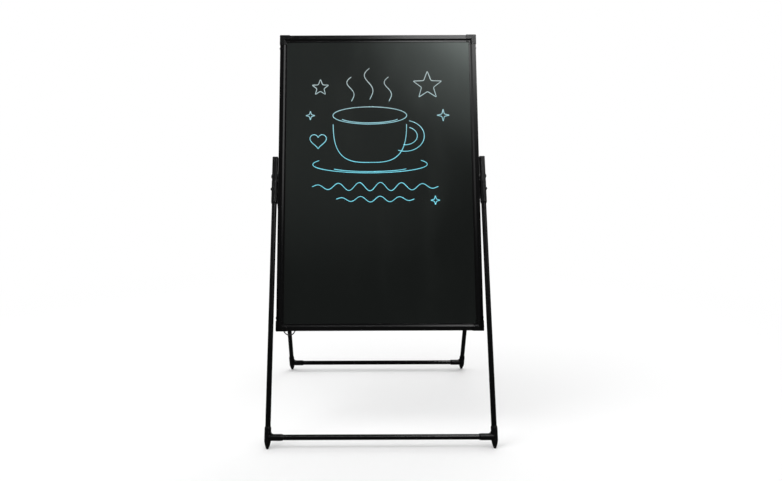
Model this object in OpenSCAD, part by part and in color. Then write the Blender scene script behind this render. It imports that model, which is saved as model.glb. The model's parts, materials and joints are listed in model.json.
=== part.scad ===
// Floor-standing illuminated writing board: an edge-lit panel in a slim frame,
// hung at mid height between the legs of a folding tube stand.
// Millimetres, +Z up, the board faces -Y, origin on the floor at the middle of the four feet.

/* [Board] */
// Width of the board over its side rails
board_w = 600; // [500:10:800]
// Height of the board over its top and bottom rails
board_h = 900; // [700:10:1000]
// Backward lean of the board from upright, in degrees
board_lean = 16.5; // [5:0.5:25]

/* [Rails] */
// Depth of a rail from front to back
rail_d = 22; // [20:0.5:30]
// Width of a rail seen from the front
rail_face = 21; // [20:0.5:28]
// Width of the flat outer band on a rail's front
rail_flat = 12; // [10.5:0.5:13]
// Width of the bevel between the flat band and the inner lip
bevel_w = 4.5; // [3:0.5:5]
// How far the inner lip lies behind the flat band
bevel_drop = 3.2; // [2.4:0.2:4]
// Width of the hollow box along a rail's outer side
rail_box = 8; // [7:0.5:9]
// Wall of the extruded rails
rail_wall = 1.6; // [1.2:0.1:2]
// Reach of the rear lip that holds the panels
rear_lip = 9; // [8:0.5:11]

/* [Corners] */
// Length of a corner piece along each rail
cap_leg = 29; // [26:1:40]
// How far a corner piece stands out past the rails' outer sides
cap_proud = 1.2; // [0.6:0.1:2]
// How far a corner piece stands out past the rails' front and back
cap_face_proud = 0.8; // [0.4:0.1:1.5]
// Radius of a corner piece's outer corner
cap_r = 2.5; // [1.5:0.5:10]
// Length of the plugs that enter the rails
plug_len = 25; // [18:1:40]

/* [Panels] */
// Thickness of the clear writing panel
panel_t = 5; // [4:0.5:6]
// Thickness of the black sheet behind it
sheet_t = 1; // [0.5:0.1:1.5]
// Thickness of the back panel
back_t = 3; // [2:0.5:4]

/* [Edge lights] */
// Width of a light strip
strip_w = 8; // [6:0.5:9]
// Thickness of a light strip
strip_t = 1; // [0.5:0.1:1.2]
// Side of a square light chip
led_side = 5; // [3:0.5:6]
// Height of a light chip on its strip
led_h = 1.4; // [1:0.1:1.6]
// Distance between light chips
led_pitch = 33; // [15:1:60]

/* [Stand] */
// Height of the board's pivot above the floor
pivot_z = 726; // [600:1:800]
// Height of the board's pivots above its middle
pivot_rise = 9; // [0:1:60]
// Lean of each pair of legs from upright, in degrees
leg_lean = 21.5; // [16:0.5:26]
// Diameter of the stand's tubes
tube_d = 15; // [12:0.5:18]
// Wall of the stand's tubes
tube_wall = 1.2; // [0.8:0.1:2]
// Gap between a side rail and the leg tube beside it
leg_gap = 3.5; // [3:0.1:6]

/* [Feet] */
// Wall of the tee feet round their tubes
foot_wall = 1.7; // [1.2:0.1:2]
// Height of the cross bar's axis above a foot's point, along the leg
bar_rise = 32; // [28:0.5:45]
// Reach of a foot's upright socket above the cross bar's axis
foot_socket = 29; // [24:0.5:40]
// Reach of a foot's level socket from the leg's axis
bar_socket = 42; // [30:0.5:55]
// Length of a foot's rounded point
tip_len = 22; // [14:0.5:22]
// Radius of the small end of a foot's point
tip_r = 2; // [1.5:0.1:4]
// Radius of the web in a foot's inner corner
foot_fillet = 6.5; // [4:0.5:14]

/* [Hinges] */
// Width of a hinge head, across the board's side
hinge_w = 17; // [15:0.5:17.5]
// Wall of the hinge sockets round their tubes
socket_wall = 2; // [1.5:0.1:2.2]
// Reach of the hinge sockets below the board's pivot
socket_len = 85; // [70:1:120]
// Height of the fold pin above the board's pivot, along the leg
apex_rise = 47.5; // [42:0.5:60]
// Distance of the fold pin behind the front tube's axis
apex_back = 10.5; // [10.2:0.1:12]
// Radius of the fork's round lug
lug_r = 13; // [12:0.5:14]
// Radius of the tongue's round end
tongue_r = 11; // [9:0.5:11.5]
// Thickness of the tongue
tongue_t = 7; // [5:0.5:8]
// Diameter of the fold pins
pin_d = 6; // [4:0.5:8]
// Diameter of the board's pivot bolts
bolt_d = 8; // [6:0.5:10]
// Height of a pivot bolt's head
bolt_head_h = 3; // [2:0.1:5]

/* [Control box] */
// Length of the control box along the bottom rail
box_w = 110; // [100:1:150]
// Height of the control box
box_h = 56; // [52:1:80]
// Depth of the control box behind the back panel
box_d = 24; // [23:0.5:32]
// Wall of the control box
box_wall = 2; // [1.6:0.1:2.5]
// Distance of the control box from the board's left side
box_x = 40; // [32:1:120]
// Height of the control box above the board's bottom edge
box_z = 60; // [55:1:120]
// Diameter of a push button
button_d = 10; // [8:0.5:12]
// Travel of a push button
button_travel = 1.2; // [0.6:0.1:1.5]
// Distance between push buttons
button_pitch = 22; // [18:1:24]
// Diameter of the lead between the control box and the frame
lead_d = 3.2; // [2.5:0.1:4]

/* [Clearances] */
// Radial clearance of a pushed-in tube, pin or screw
push_fit = 0.04; // [0.02:0.01:0.1]
// Radial clearance of a turning pin or bolt
run_fit = 0.06; // [0.02:0.01:0.09]
// Clearance of a part that slides between flat faces
flat_fit = 0.1; // [0.05:0.05:0.3]
// Clearance each side of a tongue in its fork
fork_fit = 0.25; // [0.15:0.05:0.4]

/* [Hidden] */
$fn = 64;
tiny = 0.01;
tube_r = tube_d / 2;

// Stand: leg spread, fold axis and the axis of a front leg
leg_x = board_w / 2 + leg_gap + tube_r;
pivot_y = -(apex_rise * sin(leg_lean) + apex_back * cos(leg_lean));
tip_sink = 2;
leg_axis = pivot_z / cos(leg_lean) + tip_sink;

// Sockets round the tubes: their mouths taper to a thin rim
mouth_len = 5;
mouth_wall = 0.8;
mouth_r = tube_r + push_fit + mouth_wall;

// Hinge heads
socket_r = tube_r + push_fit + socket_wall;
bolt_r = bolt_d / 2;
tube_top = bolt_r + 18;
column_foot = bolt_r + 10;
column_corner = 5;
lug_chamfer = 1;
head_chamfer = 1.4;
slot_front = apex_back - tongue_r - 2 * fork_fit;
slot_floor = bolt_r + 10;
rear_top = apex_rise - lug_r - 6;
tongue_foot = slot_floor + 4;
heel_h = 9;
pin_inset = 0.3;

// Leg screws
leg_screw_drop = tube_top + 17;
leg_screw_r = 1.75;
screw_boss_r = 4.6;
screw_boss_h = 0.6;
pan_r = 3.5;
pan_h = 2.4;

// Feet
foot_r = tube_r + push_fit + foot_wall;
tube_foot = tip_len + 3;
bar_stop = tube_r + push_fit + foot_wall;
tip_bulge = 1;
tip_ledge = 0.25;
bar_half = leg_x - bar_stop - flat_fit;
web_t = 8;

// Rails and the stack of panels in them, measured back from the rails' front
lip_t = 1.4;
rear_lip_t = 1.6;
lip_back = bevel_drop + lip_t;
panel_front = lip_back + flat_fit;
sheet_front = panel_front + panel_t;
back_front = sheet_front + sheet_t;
back_rear = back_front + back_t;
slot_back = back_rear + flat_fit;
led_gap = 0.6;
panel_edge = rail_box + strip_t + led_h + led_gap;
corner_gap = 0.3;
cap_slot = panel_edge - corner_gap;
panel_w = board_w - 2 * panel_edge;
panel_h = board_h - 2 * panel_edge;
strip_len = board_w - 2 * cap_leg - 6;
led_count = floor((strip_len - led_side) / led_pitch) + 1;
led_mid = panel_front + panel_t / 2;

// Frame screws
frame_screw_in = 9;
frame_screw_r = 1.75;
side_head_room = 0.5;
side_pan_r = 4;
side_pan_h = leg_gap - side_head_room;
rear_screw_r = 1.25;
rear_pan_r = 2.8;
rear_pan_h = 1.8;

// Board pivots
washer_r = 9;
washer_t = leg_x - hinge_w / 2 - board_w / 2 - flat_fit;
nut_h = 40;
bolt_head_r = 6.5;
bolt_end = rail_box - rail_wall - flat_fit;
hex_key = 5;
hex_depth = 1.8;

// Control box, measured from the back panel's rear face
box_r = 5;
box_chamfer = 1.5;
base_t = 3;
post_r = 3.4;
post_in = 7;
pilot_r = 1.2;
pcb_t = 1.6;
pcb_rise = 4;
pcb_margin = 1;
pcb_back = base_t + pcb_rise + pcb_t;
switch_side = 6;
flange_t = 1.6;
stem_in = 4;
switch_h = box_d - box_wall - pcb_back - flange_t - stem_in - button_travel - 2 * flat_fit;
button_proud = 2;
button_fit = 0.3;
flange_over = 1.4;
buttons_shift = -6;
box_mid_x = -board_w / 2 + box_x + box_w / 2;
box_mid_z = -board_h / 2 + box_z + box_h / 2;

// Power inlet
jack_w = 11;
jack_len = 14;
jack_deep = 10;
jack_bore_r = 3.2;
jack_pin_r = 1.05;
jack_collar_r = 5;
jack_shift = 26;
jack_d = base_t + pcb_rise + pcb_t + jack_deep / 2;

// Lead: its route is measured from the board's lower left front corner
lead_x_frame = 17;
lead_z_frame = 6;
lead_x_box = 56;
lead_depth = 27;
gland_len = 10;
gland_r = 4.2;
gland_neck_r = 3;
lead_route = [
    [17, 27, 6], [17, 33, 5], [18, 38, 0], [21, 40, -5], [27, 41, -10], [35, 41, -12],
    [44, 40, -9], [51, 37, 0], [55, 32, 14], [56, 28, 32], [56, 27, 42], [56, 27, 50]];
lead_steps = 2;
lead_sides = 8;

// Colours
black_coat = [0.07, 0.07, 0.075];
black_plastic = [0.10, 0.10, 0.105];
black_rail = [0.085, 0.085, 0.09];
dark_glass = [0.12, 0.13, 0.13];
dark_steel = [0.18, 0.18, 0.19];
zinc = [0.62, 0.63, 0.65];

// Places

// Mirrors what is made for the right side (+1) to the left side (-1)
module sided(side) {
    if (side < 0) mirror([1, 0, 0]) children();
    else children();
}

// Mirrors what is made for the front legs to the rear legs
module framed(rear) {
    if (rear) mirror([0, 1, 0]) children();
    else children();
}

// A leg's own frame: Z up the leg from the board's pivot, Y towards the other pair, X outwards
module at_leg(side, rear) {
    sided(side) framed(rear)
        translate([leg_x, pivot_y, pivot_z])
            rotate([-leg_lean, 0, 0])
                children();
}

// A leg's frame moved down to the point of its foot
module at_foot(side, rear) {
    at_leg(side, rear) translate([0, 0, -leg_axis]) children();
}

// The board's own frame: Y back from the rails' front, Z up from the board's middle
module at_board() {
    translate([0, pivot_y, pivot_z])
        rotate([-board_lean, 0, 0])
            translate([0, -rail_d / 2, -pivot_rise])
                children();
}

// The board's frame moved to its lower left front corner
module at_corner() {
    at_board() translate([-board_w / 2, 0, -board_h / 2]) children();
}

// The control box's frame: Y back from the back panel, X and Z from the box's middle
module at_box() {
    at_board() translate([box_mid_x, back_rear, box_mid_z]) children();
}

// Shared shapes

module rounded_rect(w, h, r) {
    square([w - 2 * r, h], center = true);
    square([w, h - 2 * r], center = true);
    for (x = [-1, 1], y = [-1, 1])
        translate([x * (w / 2 - r), y * (h / 2 - r)]) circle(r);
}

// Cylinder along X, from x0 to x1
module rod_x(r, x0, x1) {
    translate([x0, 0, 0]) rotate([0, 90, 0]) cylinder(r = r, h = x1 - x0);
}

// Cylinder along Y, from y0 to y1
module rod_y(r, y0, y1) {
    translate([0, y0, 0]) rotate([-90, 0, 0]) cylinder(r = r, h = y1 - y0);
}

// Drum along X with chamfered rims
module drum_x(r, w, chamfer) {
    rotate([0, 90, 0])
        rotate_extrude()
            polygon([
                [0, -w / 2], [r - chamfer, -w / 2], [r, chamfer - w / 2],
                [r, w / 2 - chamfer], [r - chamfer, w / 2], [0, w / 2]]);
}

// Rounded plate across Y with its rear edge chamfered, from y0 to y1
module chamfered_plate_y(w, h, r, y0, y1, chamfer) {
    hull() {
        plate_y(w, h, r, y0, y1 - chamfer, $fn = 32);
        plate_y(w - 2 * chamfer, h - 2 * chamfer, r - chamfer, y0, y1, $fn = 32);
    }
}

// Rounded plate across Y, from y0 to y1
module plate_y(w, h, r, y0, y1) {
    translate([0, y1, 0]) rotate([90, 0, 0]) linear_extrude(y1 - y0) rounded_rect(w, h, r);
}

// Domed pan-head screw: head above Z = 0, shank below it
module pan_screw(head_r, head_h, shank_r, shank_len) {
    crown = 0.55 * head_h;
    dome_r = (head_r * head_r + crown * crown) / (2 * crown);
    difference() {
        rotate_extrude()
            intersection() {
                square([head_r, head_h]);
                translate([0, head_h - dome_r]) circle(dome_r, $fn = 256);
            }
        for (turn = [0, 90])
            rotate([0, 0, turn])
                translate([0, 0, head_h])
                    cube([head_r * 1.1, head_r * 0.24, head_h * 0.9], center = true);
    }
    translate([0, 0, -shank_len]) cylinder(r = shank_r, h = shank_len + tiny);
}

// Stand: tubes, feet and hinges

// Round socket along Z from 0 to its mouth
module socket_skin(r, len) {
    cylinder(r = r, h = len - mouth_len);
    translate([0, 0, len - mouth_len]) cylinder(r1 = r, r2 = mouth_r, h = mouth_len);
}

module leg_tube() {
    bottom = tube_foot - leg_axis;
    difference() {
        translate([0, 0, bottom]) cylinder(r = tube_r, h = -tube_top - bottom);
        translate([0, 0, bottom - 1]) cylinder(r = tube_r - tube_wall, h = leg_axis);
        translate([0, 0, -leg_screw_drop]) rod_x(leg_screw_r + push_fit, 0, tube_r + 1);
    }
}

module crossbar_tube() {
    difference() {
        rod_x(tube_r, -bar_half, bar_half);
        rod_x(tube_r - tube_wall, -bar_half - 1, bar_half + 1);
    }
}

module crossbar(rear) {
    color(black_coat)
        at_foot(1, rear)
            translate([-leg_x, 0, bar_rise])
                crossbar_tube();
}

// Rounded point: a slight arc swept round the leg's axis, from the small end up to a ledge under the socket
module foot_point() {
    shoulder = foot_r - tip_ledge;
    inset = shoulder - tip_r;
    chord = sqrt(inset * inset + tip_len * tip_len);
    arc_r = chord * chord / (8 * tip_bulge) + tip_bulge / 2;
    sunk = (arc_r - tip_bulge) / chord;
    rotate_extrude()
        intersection() {
            square([shoulder, tip_len + 1]);
            translate([(shoulder + tip_r) / 2 - sunk * tip_len, tip_len / 2 + sunk * inset])
                circle(arc_r, $fn = 256);
        }
}

// Web in the inner corner between a foot's two sockets
module foot_web() {
    corner_x = -foot_r;
    corner_z = bar_rise + foot_r;
    translate([0, web_t / 2, 0])
        rotate([90, 0, 0])
            linear_extrude(web_t)
                difference() {
                    translate([corner_x - foot_fillet, corner_z - foot_wall])
                        square([foot_fillet + foot_wall, foot_fillet + foot_wall]);
                    translate([corner_x - foot_fillet, corner_z + foot_fillet]) circle(foot_fillet);
                }
}

// Tee foot with its level socket towards the other leg
module foot(side, rear) {
    top = bar_rise + foot_socket;
    color(black_plastic)
        difference() {
            at_foot(side, rear)
                difference() {
                    union() {
                        foot_point();
                        translate([0, 0, tip_len]) socket_skin(foot_r, top - tip_len);
                        translate([0, 0, bar_rise])
                            rotate([0, -90, 0])
                                socket_skin(foot_r, bar_socket);
                        foot_web();
                    }
                    translate([0, 0, tube_foot]) cylinder(r = tube_r + push_fit, h = top);
                    translate([0, 0, bar_rise])
                        rod_x(tube_r + push_fit, -bar_socket - 1, -bar_stop);
                }
            translate([0, 0, -foot_r]) cube([4 * leg_x, 4 * leg_axis, 2 * foot_r], center = true);
        }
}

// Socket round the upper end of a leg tube, with its mouth below and a screw boss outside
module hinge_socket(top) {
    translate([0, 0, top]) rotate([180, 0, 0]) socket_skin(socket_r, socket_len + top);
    translate([0, 0, -leg_screw_drop]) rod_x(screw_boss_r, 0, socket_r + screw_boss_h);
}

// Room for the tube and its screw in a hinge socket
module hinge_socket_room() {
    translate([0, 0, -socket_len - 1])
        cylinder(r = tube_r + push_fit, h = socket_len + 1 - tube_top + flat_fit);
    translate([0, 0, -leg_screw_drop]) rod_x(leg_screw_r + push_fit, 0, 2 * socket_r);
}

// Wedges that chamfer the front and side edges of a hinge head's flat top
module hinge_top_chamfers(top) {
    side = head_chamfer * sqrt(2);
    translate([0, -socket_r, top]) rotate([45, 0, 0]) cube([2 * hinge_w, side, side], center = true);
    for (x = [-1, 1])
        translate([x * hinge_w / 2, 0, top])
            rotate([0, 45, 0])
                cube([side, 2 * (apex_back + lug_r) + 2, side], center = true);
}

// Head on a front leg: tube socket, board pivot and a fork for the rear leg's tongue
module front_hinge(side) {
    top = apex_rise + lug_r;
    color(black_plastic)
        at_leg(side, false)
            difference() {
                union() {
                    hinge_socket(-column_foot);
                    translate([0, 0, -column_foot - column_corner])
                        linear_extrude(top + column_foot + column_corner)
                            rounded_rect(hinge_w, 2 * socket_r, column_corner);
                    translate([0, apex_back, apex_rise]) drum_x(lug_r, hinge_w, lug_chamfer);
                    translate([-hinge_w / 2 + lug_chamfer, 0, apex_rise])
                        cube([hinge_w - 2 * lug_chamfer, apex_back, lug_r]);
                }
                hinge_socket_room();
                hinge_top_chamfers(top);
                rod_x(bolt_r + run_fit, -hinge_w, hinge_w);
                translate([0, apex_back, apex_rise]) rod_x(pin_d / 2 + push_fit, -hinge_w, hinge_w);
                translate([-tongue_t / 2 - fork_fit, slot_front, slot_floor])
                    cube([tongue_t + 2 * fork_fit, 4 * lug_r, top]);
            }
}

// Flat tongue of a rear hinge, in the rear leg's frame
module tongue() {
    shelf = socket_r;
    translate([tongue_t / 2, 0, 0])
        rotate([90, 0, -90])
            mirror([1, 0, 0])
                linear_extrude(tongue_t) {
                    translate([apex_back, apex_rise]) circle(tongue_r);
                    polygon([
                        [apex_back - tongue_r, tongue_foot], [shelf, tongue_foot],
                        [apex_back + tongue_r, tongue_foot + apex_back + tongue_r - shelf],
                        [apex_back + tongue_r, apex_rise], [apex_back - tongue_r, apex_rise]]);
                }
}

// Heel that meets the fork's web when the legs are fully open, in the front leg's frame
module tongue_heel() {
    front = slot_front + fork_fit;
    translate([-tongue_t / 2, front, apex_rise]) cube([tongue_t, apex_back - front, heel_h]);
}

// Hinge on a rear leg: tube socket and a tongue that turns in the front head's fork
module rear_hinge(side) {
    color(black_plastic)
        difference() {
            union() {
                at_leg(side, true)
                    difference() {
                        union() {
                            hinge_socket(rear_top);
                            tongue();
                        }
                        hinge_socket_room();
                    }
                at_leg(side, false) tongue_heel();
            }
            at_leg(side, false)
                translate([0, apex_back, apex_rise])
                    rod_x(pin_d / 2 + run_fit, -hinge_w, hinge_w);
        }
}

module fold_pins() {
    color(zinc)
        for (side = [-1, 1])
            at_leg(side, false)
                translate([0, apex_back, apex_rise])
                    rod_x(pin_d / 2, pin_inset - hinge_w / 2, hinge_w / 2 - pin_inset);
}

module leg_screws(rear) {
    seat = socket_r + screw_boss_h;
    color(dark_steel)
        for (side = [-1, 1])
            at_leg(side, rear)
                translate([seat, 0, -leg_screw_drop])
                    rotate([0, 90, 0])
                        pan_screw(pan_r, pan_h, leg_screw_r, seat - tube_r + 3);
}

module leg(side, rear) {
    color(black_coat) at_leg(side, rear) leg_tube();
}

// Board: rails and corners

// Rail section: X inwards from the rail's outer side, Y back from its front
module rail_profile() {
    inner = rail_flat + bevel_w;
    difference() {
        polygon([
            [0, 0], [rail_flat, 0], [inner, bevel_drop], [rail_face, bevel_drop],
            [rail_face, lip_back], [inner - lip_t / 2, lip_back],
            [rail_flat - lip_t / 2, rail_wall], [rail_box, rail_wall], [rail_box, slot_back],
            [rail_box + rear_lip, slot_back], [rail_box + rear_lip, slot_back + rear_lip_t],
            [rail_box, slot_back + rear_lip_t], [rail_box, rail_d], [0, rail_d]]);
        translate([rail_wall, rail_wall])
            square([rail_box - 2 * rail_wall, rail_d - 2 * rail_wall]);
    }
}

module side_rail_shape() {
    half = board_h / 2 - cap_leg;
    difference() {
        translate([-board_w / 2, 0, -half]) linear_extrude(2 * half) rail_profile();
        translate([0, rail_d / 2, pivot_rise])
            rod_x(bolt_r + push_fit, -board_w / 2 - 1, -board_w / 2 + rail_wall + 1);
        for (end = [-1, 1])
            translate([0, rail_d / 2, end * (half - frame_screw_in)])
                rod_x(frame_screw_r + push_fit, -board_w / 2 - 1, -board_w / 2 + rail_wall + 1);
    }
}

module level_rail_shape() {
    half = board_w / 2 - cap_leg;
    difference() {
        translate([half, 0, -board_h / 2])
            rotate([0, -90, 0])
                linear_extrude(2 * half)
                    rail_profile();
        for (end = [-1, 1])
            translate([end * (half - frame_screw_in), 0, -board_h / 2 + rail_box / 2])
                rod_y(rear_screw_r + push_fit, rail_d - rail_wall - 1, rail_d + 1);
    }
}

module left_rail() {
    color(black_rail) at_board() side_rail_shape();
}

module right_rail() {
    color(black_rail) at_board() mirror([1, 0, 0]) side_rail_shape();
}

module bottom_rail() {
    color(black_rail) at_board() level_rail_shape();
}

module top_rail() {
    color(black_rail) at_board() mirror([0, 0, 1]) level_rail_shape();
}

// Corner section: the rail's outline stood out a little and solid outside the panels
module corner_profile() {
    inner = rail_flat + bevel_w;
    front = -cap_face_proud;
    back = rail_d + cap_face_proud;
    lip_rear = slot_back + rear_lip_t + cap_face_proud;
    polygon([
        [-cap_proud, front], [rail_flat, front], [inner, bevel_drop + front],
        [rail_face, bevel_drop + front], [rail_face, lip_back], [cap_slot, lip_back],
        [cap_slot, slot_back], [rail_box + rear_lip, slot_back], [rail_box + rear_lip, lip_rear],
        [rail_box, lip_rear], [rail_box, back], [-cap_proud, back]]);
}

// Square outline of a corner piece with its outer corner rounded
module corner_outline() {
    side = cap_leg + cap_proud;
    translate([-cap_proud, -cap_proud])
        difference() {
            square(side);
            difference() {
                translate([-1, -1]) square(cap_r + 1);
                translate([cap_r, cap_r]) circle(cap_r);
            }
        }
}

// Plug that enters the hollow of a side rail, with the pilot of its screw
module corner_plug() {
    side_in = rail_wall + flat_fit;
    difference() {
        translate([side_in, side_in, cap_leg - 1])
            cube([rail_box - 2 * side_in, rail_d - 2 * side_in, plug_len + 1]);
        children();
    }
}

// Swaps X and Z, to lay a side rail's shape along a level rail
module laid_level() {
    mirror([1, 0, -1]) children();
}

// Corner piece at the lower left, in the corner's frame
module corner_shape() {
    intersection() {
        union() {
            translate([0, 0, -cap_proud]) linear_extrude(cap_leg + cap_proud) corner_profile();
            laid_level()
                translate([0, 0, -cap_proud]) linear_extrude(cap_leg + cap_proud) corner_profile();
        }
        translate([0, rail_d + 1, 0])
            rotate([90, 0, 0])
                linear_extrude(rail_d + 2)
                    corner_outline();
    }
    corner_plug()
        translate([0, rail_d / 2, cap_leg + frame_screw_in])
            rod_x(frame_screw_r + push_fit, 0, rail_box);
    laid_level()
        corner_plug()
            translate([rail_box / 2, 0, cap_leg + frame_screw_in])
                rod_y(rear_screw_r + push_fit, rail_d / 2, rail_d);
}

module corner(right, top) {
    color(black_plastic)
        at_board()
            mirror([right, 0, 0])
                mirror([0, 0, top])
                    translate([-board_w / 2, 0, -board_h / 2])
                        corner_shape();
}

module corner_bottom_left() {
    difference() {
        corner(0, 0);
        at_corner() translate([lead_x_frame, 0, lead_z_frame]) gland_room(rail_d / 2, rail_d + 2);
    }
}

module side_screws() {
    shank = rail_box - rail_wall - 2 * flat_fit;
    color(dark_steel)
        at_board()
            for (side = [-1, 1], end = [-1, 1])
                sided(side)
                    translate([board_w / 2, rail_d / 2, end * (board_h / 2 - cap_leg - frame_screw_in)])
                        rotate([0, 90, 0])
                            pan_screw(side_pan_r, side_pan_h, frame_screw_r, shank);
}

module rear_screws() {
    color(dark_steel)
        at_board()
            for (side = [-1, 1], end = [-1, 1])
                translate([side * (board_w / 2 - cap_leg - frame_screw_in), rail_d,
                           end * (board_h / 2 - rail_box / 2)])
                    rotate([-90, 0, 0])
                        pan_screw(rear_pan_r, rear_pan_h, rear_screw_r, rail_d / 2 - 2 * rail_wall);
}

// Board: panels and edge lights

// Sheet the size of the panels, from y0 to y1 behind the rails' front
module sheet(y0, y1) {
    at_board()
        translate([-panel_w / 2, y0, -panel_h / 2])
            cube([panel_w, y1 - y0, panel_h]);
}

module writing_panel() {
    color(dark_glass) sheet(panel_front, sheet_front);
}

module black_sheet() {
    color([0.03, 0.03, 0.03]) sheet(sheet_front, back_front);
}

module back_panel() {
    color([0.16, 0.16, 0.165]) sheet(back_front, back_rear);
}

// Strip along the inside of the bottom rail, facing the panel's edge
module strip_shape() {
    translate([-strip_len / 2, led_mid - strip_w / 2, rail_box - board_h / 2])
        cube([strip_len, strip_w, strip_t]);
}

module chips_shape() {
    for (i = [0 : led_count - 1])
        translate([(i - (led_count - 1) / 2) * led_pitch, led_mid,
                   rail_box + strip_t + led_h / 2 - board_h / 2])
            cube([led_side, led_side, led_h], center = true);
}

module led_strip_bottom() {
    color("white") at_board() strip_shape();
}

module led_strip_top() {
    color("white") at_board() mirror([0, 0, 1]) strip_shape();
}

module led_chips_bottom() {
    color("lightyellow") at_board() chips_shape();
}

module led_chips_top() {
    color("lightyellow") at_board() mirror([0, 0, 1]) chips_shape();
}

// Board: pivots

module pivot_nut(side) {
    inset = rail_wall + flat_fit;
    color(zinc)
        at_board()
            sided(side)
                difference() {
                    translate([board_w / 2 - rail_box + inset, inset, pivot_rise - nut_h / 2])
                        cube([rail_box - 2 * inset, rail_d - 2 * inset, nut_h]);
                    translate([0, rail_d / 2, pivot_rise])
                        rod_x(bolt_r + push_fit, board_w / 2 - rail_box, board_w / 2);
                }
}

// Button-head bolt with a hexagon socket
module pivot_bolt(side) {
    seat = leg_x + hinge_w / 2 + flat_fit;
    crown = bolt_head_h - 0.8;
    dome_r = (bolt_head_r * bolt_head_r + crown * crown) / (2 * crown);
    color(dark_steel)
        at_board()
            sided(side)
                translate([0, rail_d / 2, pivot_rise]) {
                    rod_x(bolt_r, board_w / 2 - bolt_end, seat + tiny);
                    translate([seat, 0, 0])
                        rotate([0, 90, 0])
                            difference() {
                                rotate_extrude()
                                    intersection() {
                                        square([bolt_head_r, bolt_head_h]);
                                        translate([0, bolt_head_h - dome_r]) circle(dome_r, $fn = 256);
                                    }
                                translate([0, 0, bolt_head_h - hex_depth])
                                    cylinder(r = hex_key / 2 / cos(30), h = hex_depth + 1, $fn = 6);
                            }
                }
}

module pivot_washers() {
    color([0.05, 0.05, 0.05])
        at_board()
            for (side = [-1, 1])
                sided(side)
                    translate([board_w / 2, rail_d / 2, pivot_rise])
                        difference() {
                            rod_x(washer_r, 0, washer_t);
                            rod_x(bolt_r + push_fit, -1, washer_t + 1);
                        }
}

// Control box

// Places children at the four posts that hold the cover
module at_posts() {
    for (x = [-1, 1], z = [-1, 1])
        translate([x * (box_w / 2 - post_in), 0, z * (box_h / 2 - post_in)])
            children();
}

module control_base() {
    color(black_plastic)
        at_box() {
            plate_y(box_w, box_h, box_r, 0, base_t);
            at_posts()
                difference() {
                    rod_y(post_r, base_t - tiny, box_d - box_wall);
                    rod_y(pilot_r + push_fit, base_t + pcb_rise, box_d);
                }
            for (x = [-1, 1])
                translate([x * (box_w / 2 - 2 * post_in - post_r), 0, 0])
                    rod_y(post_r, base_t - tiny, base_t + pcb_rise);
        }
}

module control_cover() {
    rim = base_t;
    color(black_plastic)
        at_box()
            difference() {
                chamfered_plate_y(box_w, box_h, box_r, rim, box_d, box_chamfer);
                plate_y(box_w - 2 * box_wall, box_h - 2 * box_wall, box_r - box_wall,
                        rim - 1, box_d - box_wall);
                at_posts() rod_y(pilot_r + push_fit, rim, box_d + 1);
                for (i = [-1, 0, 1])
                    translate([button_x(i), 0, 0]) rod_y(button_d / 2 + button_fit, rim, box_d + 1);
                translate([jack_shift, jack_d, -box_h / 2 - 1])
                    cylinder(r = jack_collar_r + button_fit, h = box_wall + 2);
                translate([lead_x_box - box_x - box_w / 2, lead_depth - back_rear, -box_h / 2 - 1])
                    cylinder(r = gland_neck_r + push_fit, h = box_wall + 2);
            }
}

function button_x(i) = buttons_shift + i * button_pitch;

module control_circuit() {
    w = box_w - 4 * post_in;
    h = box_h - 2 * box_wall - 2 * pcb_margin;
    color([0.05, 0.25, 0.12])
        at_box()
            plate_y(w, h, 2, base_t + pcb_rise, pcb_back);
}

module button_switches() {
    color("dimgray")
        at_box()
            for (i = [-1, 0, 1])
                translate([button_x(i), pcb_back, 0]) {
                    translate([-switch_side / 2, 0, -switch_side / 2])
                        cube([switch_side, switch_h - 1, switch_side]);
                    rod_y(switch_side / 4, 0, switch_h);
                }
}

// Barrel inlet, open downwards through the cover's lower wall
module power_inlet() {
    mouth = -box_h / 2;
    body = mouth + box_wall + flat_fit;
    color("black")
        at_box()
            translate([jack_shift, jack_d, 0]) {
                difference() {
                    union() {
                        translate([-jack_w / 2, -jack_deep / 2, body]) cube([jack_w, jack_deep, jack_len]);
                        translate([0, 0, mouth]) cylinder(r = jack_collar_r, h = box_wall + 1);
                    }
                    translate([0, 0, mouth - 1]) cylinder(r = jack_bore_r, h = jack_len);
                }
                translate([0, 0, mouth + 1]) cylinder(r = jack_pin_r, h = jack_len);
            }
}

module control_screws() {
    color(dark_steel)
        at_box()
            at_posts()
                translate([0, box_d, 0])
                    rotate([-90, 0, 0])
                        pan_screw(rear_pan_r, rear_pan_h, pilot_r, box_wall + 8);
}

// Push button: a stem with a rounded face and a flange that the cover holds in
module push_button(i) {
    r = button_d / 2;
    round_r = 1.2;
    wall_in = box_d - box_wall;
    top = box_d + button_proud;
    flange = wall_in - flat_fit - flange_t;
    foot = flange - stem_in;
    color("gray")
        at_box()
            translate([button_x(i), 0, 0])
                rotate([-90, 0, 0])
                    rotate_extrude() {
                        translate([0, foot]) square([r, top - round_r - foot]);
                        translate([0, top - round_r - tiny]) square([r - round_r, round_r + tiny]);
                        translate([r - round_r, top - round_r])
                            intersection() {
                                circle(round_r);
                                square(round_r);
                            }
                        translate([0, flange]) square([r + flange_over, flange_t]);
                    }
}

module power_button() {
    push_button(-1);
}

module mode_button() {
    push_button(0);
}

module brightness_button() {
    push_button(1);
}

// Lead and its glands

// Ribbed boot along Z: its face at the lead's end is at Z = 0 and its flange at Z = len
module gland_boot(len, neck) {
    end_r = lead_d / 2 + 0.8;
    flange = 1.6;
    rotate_extrude() {
        polygon([[0, 0], [end_r, 0], [gland_r - 0.4, len - flange], [0, len - flange]]);
        translate([0, len - flange]) square([gland_r, flange]);
        translate([0, len - tiny]) square([gland_neck_r, neck]);
    }
}

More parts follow.
